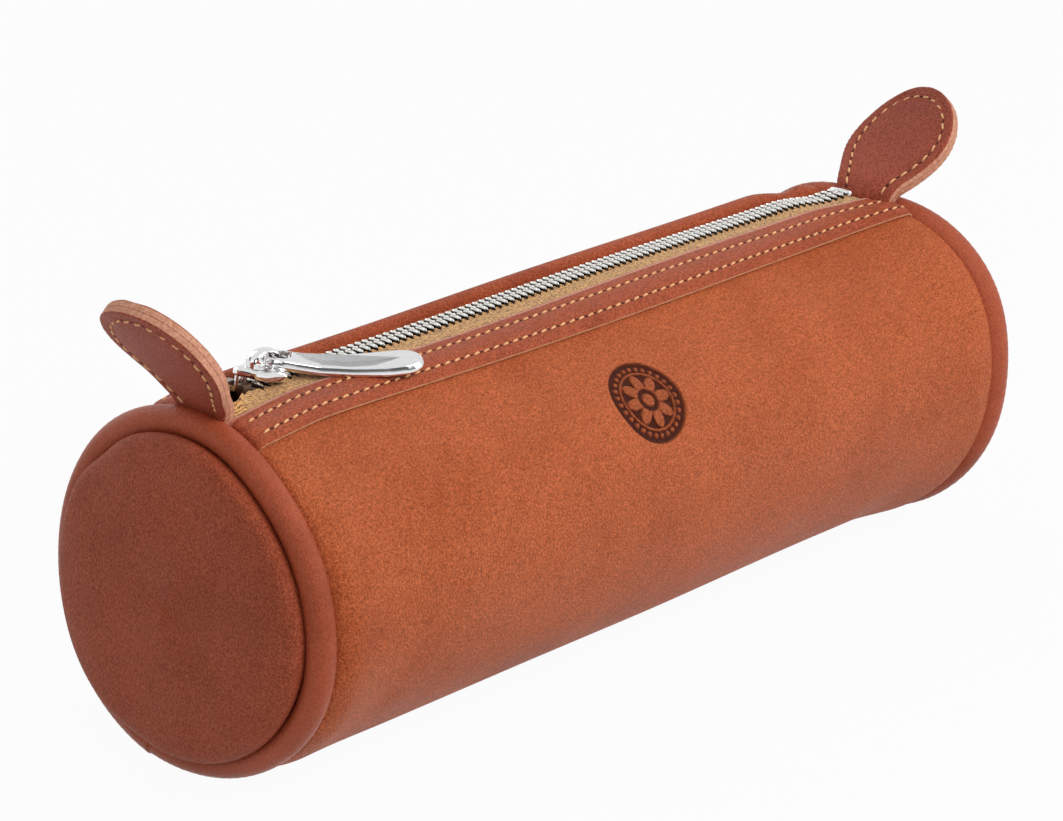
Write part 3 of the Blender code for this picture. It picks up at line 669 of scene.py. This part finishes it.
def facing(name, side, sign):
    """A section carried along the zip: top from lip to cut edge, then back underneath. The
    lip is a quarter round, and the cut edge is skived down over its last 2 mm."""
    stations = np.sort(np.concatenate([end_stations(sign, 0.0010, 0.0005), [0.0]]))[:, None]
    offset = strip_offset(stations, np.linspace(0.0, 1.0, 44)[None, :])
    roll = LIP_ROLL[side]
    from_lip = np.clip((offset - offset[:, :1]) / roll, 0.0, 1.0)
    height = facing_height(offset, stations, side)
    height = height - 0.8 * roll * (1.0 - np.sqrt(1.0 - (1.0 - from_lip) ** 2))
    height = height - 0.0007 * ease(offset - offset[:, -1:], -SKIVED, 0.0)
    top = on_tube(stations, side * offset / BELLY_RADIUS, height)
    under_offset = offset + 0.3 * roll * (1.0 - from_lip)
    over_tape = 1.0 - ease(offset, 0.0105, 0.0125)
    under = on_tube(stations, side * under_offset / BELLY_RADIUS, 0.0001 - 0.0009 * over_tape)
    for grid in (top, under):
        grid[..., 1] += ZIP_SHIFT * ease(0.024 - np.abs(grid[..., 1]), 0.0, 0.010)
    piece = wall(name, top, under, [FACING_HIDE, RAW_EDGE, WORN_AND_HIGHLIT_LIP])
    long_faces, cross_faces = top.shape[0] - 1, top.shape[1] - 1
    face_count = long_faces * cross_faces
    outer_edge = 2 * face_count + cross_faces
    indices = np.zeros(len(piece.data.polygons), np.int32)
    indices[outer_edge:outer_edge + long_faces] = 1
    # The front lip's top faces get the lighter band, partly wear and partly a painted highlight.
    if side > 0:
        indices[:face_count].reshape(long_faces, cross_faces)[:, 2:5] = 2
    piece.data.polygons.foreach_set("material_index", indices)
    return piece


for flank, half, side, sign in QUARTERS:
    hang(facing(f"{flank}_facing_{half}", side, sign), half, flank + "_facing")

# Stitching: waxed tan thread in a lockstitch. Each stitch lies between two needle holes,
# drawn as dark discs of painted shade, and is pulled down into the leather at both.
STITCH_PITCH = 0.00295
STITCH_LENGTH = 0.0019
STITCH_SLANT = 0.15
STITCH_END_X = 0.1008
THREAD_RADIUS = 0.00024
PRICK_HALF_LENGTH = 0.00046
PRICK_HALF_WIDTH = 0.00025
THREAD = fibrous("waxed_thread", [(0.3, srgb(220, 156, 100)), (0.7, srgb(255, 204, 150))],
                 (3000.0, 2.0), (4200.0, 2.0), 0.5, 0.0001, 0.55)
# Painted shade: the dark colour of the discs that stand for the shaded inside of the needle holes.
NEEDLE_HOLE_SHADE = fibrous("needle_hole_painted_shade", [(0.3, srgb(48, 20, 12)), (0.7, srgb(84, 36, 22))],
                (2000.0,), (2000.0,), 0.0, 0.0001, 0.9)


def stitch_run(name, path, normals, late=False):
    """Stitches along a line of points: each is a spindle laid along the line between two
    pricks. The line is cut into pitches by its arc length, in step with its start, or
    with its end when late."""
    steps = np.linalg.norm(np.diff(path, axis=0), axis=1)
    walked = np.concatenate([[0.0], np.cumsum(steps)])
    first = STITCH_PITCH / 2 + (walked[-1] % STITCH_PITCH if late else 0.0)
    centres = np.arange(first, walked[-1], STITCH_PITCH)

    def at(distance, values):
        return np.stack([np.interp(distance, walked, column) for column in values.T], -1)

    ahead = at(centres + 0.0004, path) - at(centres - 0.0004, path)
    ahead /= np.linalg.norm(ahead, axis=1)[:, None]
    up = at(centres, normals)
    up /= np.linalg.norm(up, axis=1)[:, None]
    axes = np.stack([ahead, np.cross(up, ahead), up], axis=1)
    share = np.linspace(-1.0, 1.0, 7)[:, None]
    turn = once_round(6)[None, :]
    thick = THREAD_RADIUS * (1.0 - 0.55 * share ** 4)
    lengthways = share * STITCH_LENGTH / 2 + 0.0 * turn
    sideways = thick * np.cos(turn) * 1.15 + STITCH_SLANT * lengthways
    upwards = thick * np.sin(turn) + 0.00010 - 0.00030 * share ** 4
    spindle = np.stack([lengthways, sideways, upwards], -1).reshape(-1, 3)
    # Each prick is a flat dark disc on the surface, painting the shade inside a needle hole.
    turn = once_round(8)
    disc = np.stack([PRICK_HALF_LENGTH * np.cos(turn), PRICK_HALF_WIDTH * np.sin(turn),
                     0.0 * turn + 0.00005], -1)
    hole = np.concatenate([disc, disc * [0.9, 0.9, -3.0]]) + [STITCH_PITCH / 2, 0.0, 0.0]
    one = np.concatenate([spindle, hole])
    points = at(centres, path)[:, None] + one @ axes
    sides = np.concatenate([quads(7, 6, wrap_columns=True),
                            quads(2, 8, first=42, wrap_columns=True)])
    tips = np.stack([np.arange(6)[::-1], 36 + np.arange(6)])
    lids = np.stack([42 + np.arange(8), 50 + np.arange(8)[::-1]])
    count = len(centres)
    faces = copies([sides, tips, lids], len(one), count)
    indices = np.concatenate([np.tile(np.repeat([0, 1], [36, 8]), count),
                              np.repeat([0, 1], 2 * count)])
    return add_piece(name, points, faces, [THREAD, NEEDLE_HOLE_SHADE], indices, sharp=180.0)


for flank, half, side, sign in QUARTERS:
    for row in range(2):
        x = np.linspace(min(sign, 0) * STITCH_END_X, max(sign, 0) * STITCH_END_X, 400)
        offset = stitch_offset(row, x)
        angle = side * offset / BELLY_RADIUS
        path = on_tube(x, angle, facing_height(offset, x, side) + 0.00002)
        path[:, 1] += ZIP_SHIFT
        normals = np.stack([0.0 * x, -np.sin(angle), np.cos(angle)], -1)
        seam = stitch_run(f"{flank}_stitches_{row + 1}_{half}", path, normals, late=sign < 0)
        hang(seam, half)

# Pull tabs: two layers of chestnut leather, flesh to flesh, sewn round their edge and
# trimmed flush, so the pale cut edges show as a band. The foot is caught in the end seam
# and the blade leans out over the piping, to give the hand a hold while the zip is run.
TAB_WALL = 0.0016
TAB_STITCH_INSET = 0.0027
TAB_PUFF = 0.00022
TAB_SINK = 0.00015
TAB_WEAR = 0.00030
GLUE_HALF = 0.00004
TAB_HIDE = grain_leather("tab_hide", srgb(176, 84, 62), srgb(160, 72, 52), 0.44)
TAB_EDGE = cut_edge("tab_raw_edge", srgb(226, 166, 136), srgb(178, 112, 84))


def tab_frame(foot, side, length, lean, lean_more, bend, yaw, twist):
    """The tab's middle line, bending outwards from the seam, as a function that turns a
    distance along it, one across it and one off it into points."""
    walk = np.linspace(0.0, length, 300)
    angle = lean * ease(walk, 0.0030, 0.0030 + bend) + lean_more * walk / length
    step = walk[1] - walk[0]
    line_x = np.concatenate([[0.0], np.cumsum(np.sin(angle[:-1]) * step)])
    line_z = np.concatenate([[0.0], np.cumsum(np.cos(angle[:-1]) * step)])

    def place(along, across, off):
        x = np.interp(along, walk, line_x)
        z = np.interp(along, walk, line_z)
        tilt = np.interp(along, walk, angle)
        turn = (yaw + twist * along / length) * ease(along, 0.002, 0.014)
        x = x + off * np.cos(tilt) + across * np.sin(turn) * np.cos(tilt)
        z = z - off * np.sin(tilt) - across * np.sin(turn) * np.sin(tilt)
        y = across * np.cos(turn)
        return np.stack(np.broadcast_arrays(foot[0] + side * x, foot[1] + y, foot[2] + z), -1)

    return place


def tab_half_width(along, length, tip, root):
    """Half width: a stem that flares like a sine, then a round tip."""
    stem = length - tip
    flare = root + (tip - root) * np.sin(math.pi / 2 * np.clip(along / stem, 0.0, 1.0)) ** 2.0
    rounding = np.sqrt(np.maximum(tip ** 2 - np.maximum(along - stem, 0.0) ** 2, 0.0))
    return np.where(along > stem, rounding, flare)


def tab(name, side, length, tip, root, **bends):
    """Two leather walls laid on each other, and the stitching on both faces. Each face is
    puffed inside the stitching, sunk along it, and rounded off at its worn edge."""
    place = tab_frame(side=side, length=length, **bends)
    stem = length - tip
    turn = np.linspace(0.0, math.pi / 2, 26)
    along = np.concatenate([np.linspace(0.0, stem, 50)[:-1], stem + (tip - 0.00002) * np.sin(turn)])
    along = along[:, None]
    across = np.linspace(-1.0, 1.0, 41)[None, :]
    across = np.sign(across) * (1.0 - (1.0 - np.abs(across)) ** 1.3)
    half = tab_half_width(along, length, tip, root)
    fuzz = 0.00006 * np.sin(along * 4100.0 + 3.0) + 0.00004 * np.sin(along * 9300.0)
    width = across * (half + fuzz * np.abs(across) ** 8)
    to_edge = np.minimum(half * (1.0 - np.abs(across)), np.maximum(length - along, 0.0))
    puff = TAB_PUFF * ease(to_edge, 0.0030, 0.0058)
    puff = puff - TAB_SINK * np.exp(-((to_edge - 0.0026) / 0.0006) ** 2)
    worn = TAB_WEAR * (1.0 - np.clip(to_edge / 0.0006, 0.0, 1.0)) ** 2
    inner_tip = tip - TAB_STITCH_INSET
    turn = np.linspace(0.0, math.pi / 2, 160)[1:]
    run = np.concatenate([np.linspace(0.006, stem, 200), stem + inner_tip * np.sin(turn)])
    edge = np.where(run > stem, np.sqrt(np.maximum(inner_tip ** 2 - (run - stem) ** 2, 0.0)),
                    tab_half_width(run, length, tip, root) - TAB_STITCH_INSET)
    run = np.concatenate([run, run[-2::-1]])
    edge = np.concatenate([-edge, edge[-2::-1]])
    for layer, outside in (("inner", -1.0), ("outer", 1.0)):
        face = place(along, width, outside * (TAB_WALL + puff - worn))
        meeting = place(along, width, outside * GLUE_HALF)
        hide = wall(f"{name}_{layer}_hide", face, meeting, [TAB_HIDE, TAB_EDGE], edge_index=1)
        stands_for = [f"{name}_{layer}"] + ([name + "_root"] if layer == "inner" else [])
        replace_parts(hide, *stands_for)
        line = place(run, edge, outside * (TAB_WALL - 0.00012))
        normals = place(run, edge, outside * (TAB_WALL + 0.00088)) - line
        for piece in (hide, stitch_run(f"{name}_{layer}_stitches", line, normals)):
            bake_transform(piece)


tab("left_tab", -1.0, 0.0357, 0.0142, 0.0056, foot=(-0.1051, -0.0036, 0.0700),
    lean=math.radians(40.3), lean_more=math.radians(-1.3), bend=0.0053,
    yaw=math.radians(-11.3), twist=math.radians(10.4))
tab("right_tab", 1.0, 0.0362, 0.0137, 0.0060, foot=(0.1009, -0.0074, 0.0684),
    lean=math.radians(73.5), lean_more=math.radians(-36.6), bend=0.0073,
    yaw=math.radians(-5.1), twist=math.radians(19.7))

# Stops: bent clips of plated metal, pressed on at both ends of the chain. The lower one
# sits where the chain runs down into the far seam, under the tab's foot.
POLISHED = plate_metal("polished_nickel", (0.86, 0.86, 0.86, 1.0), 0.05, 0.05)
# The top stops' nickel is darkened to paint the shade they sit in beside the slider.
STOP_SHADE_NICKEL = plate_metal("nickel_painted_shade", (0.34, 0.29, 0.24, 1.0), 0.25, 0.15)
for stop_name in ("front_top_stop", "rear_top_stop"):
    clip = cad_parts[stop_name]
    clip.data.materials.clear()
    clip.data.materials.append(STOP_SHADE_NICKEL)


def solid_of_rings(name, rings, material):
    """A closed solid from a stack of like rings of points, each end closed by a face."""
    rings = np.asarray(rings)
    rows, columns = rings.shape[:2]
    spin = np.arange(columns)
    faces = [quads(rows, columns, wrap_columns=True), [spin[::-1]], [spin + (rows - 1) * columns]]
    return add_piece(name, rings, faces, [material], sharp=40.0)


CLIP_X = 0.1002
CLIP_STACK = np.array([[-0.0029, 0.0006, 0.0007], [-0.0026, 0.0010, 0.0011], [0.0, 0.0011, 0.0013],
                       [0.0026, 0.0010, 0.0011], [0.0029, 0.0006, 0.0007]])
across, half_long, half_high = CLIP_STACK.T[:, :, None]
clip_x = CLIP_X + half_long * np.cos(once_round(24))
clip_rings = settled(clip_x, 0.0, AXIS_Z + hide_radius(clip_x, 0.0))
clip_rings[..., 1] += across + ZIP_SHIFT
clip_rings[..., 2] += half_high * np.sin(once_round(24)) + CHAIN_CROWN
end_clip = solid_of_rings("chain_end_clip", clip_rings, POLISHED)
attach(end_clip, "case")
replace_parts(end_clip, "bottom_stop")

# Slider: die-cast and polished. Two leaf-shaped plates joined by a post at the pointed
# end, with the rims turned down to close the teeth between them.
SLIDER_X = -0.0877
SLIDER_LENGTH = 0.0114
SLIDER_HALF_WIDTH = 0.0044
SLIDER_YAW = math.radians(-18.0)
SLIDER_PITCH = math.radians(13.0)
SLIDER_RAISED = 0.0004
PLATE_SECTION = np.array([
    [0.0020, 0.0015], [0.0010, 0.0014], [0.0008, 0.0009], [0.0001, 0.0009], [0.0, 0.0011],
    [0.0, 0.0020], [0.0003, 0.0023], [0.0009, 0.0025], [0.0020, 0.0028], [0.0034, 0.0029]])


def leaf(turn, half_length, half_width):
    """The slider's outline: a leaf, pointed at the nose and rounder behind."""
    narrow = 1.0 - 0.45 * ease(-np.cos(turn), 0.05, 1.0)
    y = half_width * np.sign(np.sin(turn)) * np.abs(np.sin(turn)) ** 0.8 * narrow
    return half_length * np.cos(turn), y


def spun(points, one, other, angle):
    """Points turned by an angle in the plane of two of their three axes."""
    points = np.array(points)
    first, second = points[..., one].copy(), points[..., other].copy()
    points[..., one] = first * math.cos(angle) - second * math.sin(angle)
    points[..., other] = first * math.sin(angle) + second * math.cos(angle)
    return points


def cocked(points):
    """From the slider's own frame to its place: askew on the chain, with its nose up and
    turned a little to the rear."""
    points = spun(spun(points, 2, 0, SLIDER_PITCH), 0, 1, SLIDER_YAW)
    return points + [SLIDER_X, ZIP_SHIFT, CHAIN_Z + SLIDER_RAISED]


def oval_pin(count, x, half_length, half_width, half_height):
    """The two end rings of an upright pin of oval section, in its own frame."""
    turn = once_round(count)
    return np.stack([np.stack([x + half_length * np.cos(turn), half_width * np.sin(turn),
                               0.0 * turn + z], -1) for z in (-half_height, half_height)])


plates = []
inset, plate_z = PLATE_SECTION[:, :1], PLATE_SECTION[:, 1:]
for name, up, reach in (("slider_top_plate", 1.0, 0.0), ("slider_under_plate", -1.0, 0.0010)):
    x, y = leaf(once_round(64), SLIDER_LENGTH / 2 - inset - reach, SLIDER_HALF_WIDTH - inset)
    rings = np.stack(np.broadcast_arrays(x + reach, y, up * plate_z), -1)
    plates.append(solid_of_rings(name, cocked(rings), POLISHED))
post = oval_pin(20, x=-0.0043, half_length=0.0010, half_width=0.0008, half_height=0.0017)
plates.append(solid_of_rings("slider_post", cocked(post), POLISHED))
for piece in plates:
    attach(piece, "slider")
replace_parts(plates[0], "slider_body")

# Bridge: a flat strap of the same metal, polished, bent into an arch and pressed into the
# slider's top plate with both its feet. The eye of the puller hangs in it.
BRIDGE_FOOT = 0.0775
ARCH_AHEAD = 0.0014
ARCH_HALF_LENGTH = 0.0036
ARCH_HEIGHT = 0.0037
STRAP_HALF_WIDTH = 0.0014
STRAP_HALF_THICKNESS = 0.00055
strap_turn = np.linspace(0.0, math.pi, 30)[:, None]
arch_x = SLIDER_X + ARCH_AHEAD - ARCH_HALF_LENGTH * np.cos(strap_turn)
arch_z = BRIDGE_FOOT + ARCH_HEIGHT * np.sin(strap_turn) ** 0.6
along_x, along_z = np.gradient(arch_x, axis=0), np.gradient(arch_z, axis=0)
loop = once_round(12)[None, :]
thick = STRAP_HALF_THICKNESS * np.cos(loop) / np.hypot(along_x, along_z)
strap = np.stack(np.broadcast_arrays(arch_x - thick * along_z,
                                     ZIP_SHIFT + STRAP_HALF_WIDTH * np.sin(loop),
                                     arch_z + thick * along_x), -1)
bridge = solid_of_rings("slider_strap", strap, POLISHED)
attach(bridge, "slider")
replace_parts(bridge, "slider_bridge")

# Puller: a forged and polished leaf of metal with an eye at one end. It lies across the
# front facing, bends down to it and turns up a little at its round tip.
PULLER_YAW = math.radians(-33.2)
PULLER_ROLL = math.radians(13.0)
PULLER_EYE = (-0.0844, 0.0000, 0.0791)
PULLER_REACH = 0.0332


def puller_ring(share, lift):
    """Outline of the puller as a ring of points in its own frame, drawn in where share
    is below 1, and bent down from the eye like a shallow spoon."""
    turn = once_round(160)
    along = 0.5 - 0.5 * np.cos(turn)
    across = np.sign(np.sin(turn)) * np.interp(
        along, [0.0, 0.02, 0.06, 0.12, 0.20, 0.32, 0.46, 0.62, 0.78, 0.88, 0.94, 0.975, 0.993, 1.0],
        [0.0, 0.0015, 0.0024, 0.0029, 0.0029, 0.0030, 0.0032, 0.0035, 0.0038, 0.0037, 0.0032,
         0.0023, 0.0013, 0.0])
    inset = 1.0 - share
    x = -0.0014 + along * PULLER_REACH + inset * 0.0010 * np.cos(turn)
    y = across - np.sign(across) * np.minimum(inset * 0.0008, np.abs(across) * 0.999)
    drop = np.interp(along, [0.0, 0.08, 0.20, 0.35, 0.55, 0.75, 0.90, 1.0],
                     [0.0, -0.0002, -0.0013, -0.0025, -0.0033, -0.0036, -0.0035, -0.0033])
    return np.stack([x, y, drop + lift], -1)


SATIN = plate_metal("satin_puller", (0.86, 0.86, 0.87, 1.0), 0.14, 0.05)
PULLER_SECTION = ((0.0, -0.00095), (0.60, -0.00095), (0.90, -0.00090), (1.0, -0.00070),
                  (1.0, -0.00020), (0.90, -0.00002), (0.50, 0.00062), (0.36, 0.00074),
                  (0.10, 0.00080), (-0.8, 0.00082), (-4.0, 0.00082))
pull = solid_of_rings("polished_puller", [puller_ring(*ring) for ring in PULLER_SECTION], SATIN)
eye = oval_pin(32, x=0.0028, half_length=0.0023, half_width=0.0016, half_height=0.004)
eye_tool = solid_of_rings("puller_eye_tool", eye, POLISHED)
hole = pull.modifiers.new("eye", "BOOLEAN")
hole.operation = "DIFFERENCE"
hole.object = eye_tool
bevel = pull.modifiers.new("eye_edge", "BEVEL")
bevel.width = 0.00025
bevel.segments = 2
bevel.limit_method = "ANGLE"
bevel.angle_limit = math.radians(50.0)
bpy.context.view_layer.update()
pierced = pull.evaluated_get(bpy.context.evaluated_depsgraph_get())
finished = bpy.data.meshes.new_from_object(pierced)
pull.modifiers.clear()
pull.data = finished
bpy.data.objects.remove(eye_tool)
points = np.zeros(len(finished.vertices) * 3)
finished.vertices.foreach_get("co", points)
laid = spun(spun(points.reshape(-1, 3), 1, 2, PULLER_ROLL), 0, 1, PULLER_YAW) + PULLER_EYE
finished.vertices.foreach_set("co", laid.ravel())
finished.shade_smooth()
finished.set_sharp_from_angle(angle=math.radians(35.0))
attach(pull, "puller")
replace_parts(pull, "puller")

# Studio: a white sweep that shows the contact shadow faintly, four soft boxes, of which
# the broad one at the right in front is the strongest, and a pale sky that metal mirrors.
FLOOR_CORNERS = np.array([[-6.0, -6.0, -0.0001], [6.0, -6.0, -0.0001], [6.0, 6.0, -0.0001],
                          [-6.0, 6.0, -0.0001]])
sweep = add_piece("studio_floor", FLOOR_CORNERS, [[[0, 1, 2, 3]]], [], closed=False)
paper = bpy.data.materials.new("white_sweep")
paper.use_nodes = True
tree = paper.node_tree
tree.nodes.clear()
out = tree.nodes.new("ShaderNodeOutputMaterial")
mix = tree.nodes.new("ShaderNodeMixShader")
matt = tree.nodes.new("ShaderNodeBsdfDiffuse")
matt.inputs["Color"].default_value = (0.62, 0.62, 0.62, 1.0)
glow = tree.nodes.new("ShaderNodeEmission")
glow.inputs["Color"].default_value = (1.0, 1.0, 1.0, 1.0)
rays = tree.nodes.new("ShaderNodeLightPath")
seen = maths(tree, "MAXIMUM", rays.outputs["Is Camera Ray"], rays.outputs["Is Glossy Ray"])
tree.links.new(maths(tree, "MULTIPLY", seen, 0.955), mix.inputs["Fac"])
tree.links.new(matt.outputs["BSDF"], mix.inputs[1])
tree.links.new(glow.outputs["Emission"], mix.inputs[2])
tree.links.new(mix.outputs["Shader"], out.inputs["Surface"])
sweep.data.materials.append(paper)

world = bpy.data.worlds.new("studio")
bpy.context.scene.world = world
world.use_nodes = True
tree = world.node_tree
sky = tree.nodes["Background"]
sky.inputs["Color"].default_value = (1.0, 1.0, 1.0, 1.0)
rays = tree.nodes.new("ShaderNodeLightPath")
seen = maths(tree, "MAXIMUM", rays.outputs["Is Camera Ray"], rays.outputs["Is Transmission Ray"])
mirrored = maths(tree, "MULTIPLY", rays.outputs["Is Glossy Ray"], 0.5)
strength = maths(tree, "MULTIPLY_ADD", seen, 0.64)
strength.node.inputs[2].default_value = 0.36
strength = maths(tree, "ADD", strength, mirrored)
tree.links.new(strength, sky.inputs["Strength"])

AIM = (-0.0050, 0.0, 0.0486)


def soft_lamp(name, place, size, power):
    """A square soft box that faces the case."""
    lamp = bpy.data.lights.new(name, "AREA")
    lamp.energy = power
    lamp.size = size
    holder = bpy.data.objects.new(name, lamp)
    holder.location = place
    away = np.array(place) - np.array(AIM)
    holder.rotation_euler = Vector(away).to_track_quat("Z", "Y").to_euler()
    bpy.context.scene.collection.objects.link(holder)


soft_lamp("key_box", (0.45, -0.98, 0.78), 0.8, 10.8)
soft_lamp("front_box", (-0.62, -0.78, 0.72), 0.35, 1.8)
soft_lamp("left_box", (-1.20, 0.10, 0.60), 0.8, 1.5)
soft_lamp("back_box", (0.10, 1.10, 0.80), 0.8, 3.4)

# Black cards, one above and behind the camera and one at the back, which only draw the
# dark lines in the metal.
black = bpy.data.materials.new("black_card")
black.use_nodes = True
black.node_tree.nodes["Principled BSDF"].inputs["Base Color"].default_value = (0.02, 0.02, 0.02, 1.0)
for name, left, right, low, high in (("black_card_front", (-1.80, -0.10), (0.45, -1.90), 0.30, 1.70),
                                     ("black_card_back", (-1.50, 1.30), (0.10, 1.30), 0.95, 1.40)):
    corners = [[*left, low], [*right, low], [*right, high], [*left, high]]
    card = add_piece(name, corners, [[[0, 1, 2, 3]]], [black], closed=False)
    card.visible_camera = False
    card.visible_diffuse = False
    card.visible_shadow = False

# Camera: a long lens at the photograph's place, which a fit to the outlines of the two
# piped rings and to the lines of the zip gave.
FOCAL_PIXELS = 4691.13
PHOTO_WIDTH = 1063.0
BEARING = math.radians(-49.695)
ELEVATION = math.radians(18.072)
DISTANCE = 0.975
lens = bpy.data.cameras.new("camera")
lens.sensor_width = 36.0
lens.lens = FOCAL_PIXELS / PHOTO_WIDTH * lens.sensor_width
lens.clip_start = 0.05
lens.clip_end = 20.0
camera = bpy.data.objects.new("camera", lens)
back = np.array([math.sin(BEARING) * math.cos(ELEVATION), -math.cos(BEARING) * math.cos(ELEVATION),
                 math.sin(ELEVATION)])
camera.location = np.array(AIM) + DISTANCE * back
camera.rotation_euler = Vector(back).to_track_quat("Z", "Y").to_euler()
bpy.context.scene.collection.objects.link(camera)
bpy.context.scene.camera = camera
bpy.context.scene.view_settings.view_transform = "Standard"
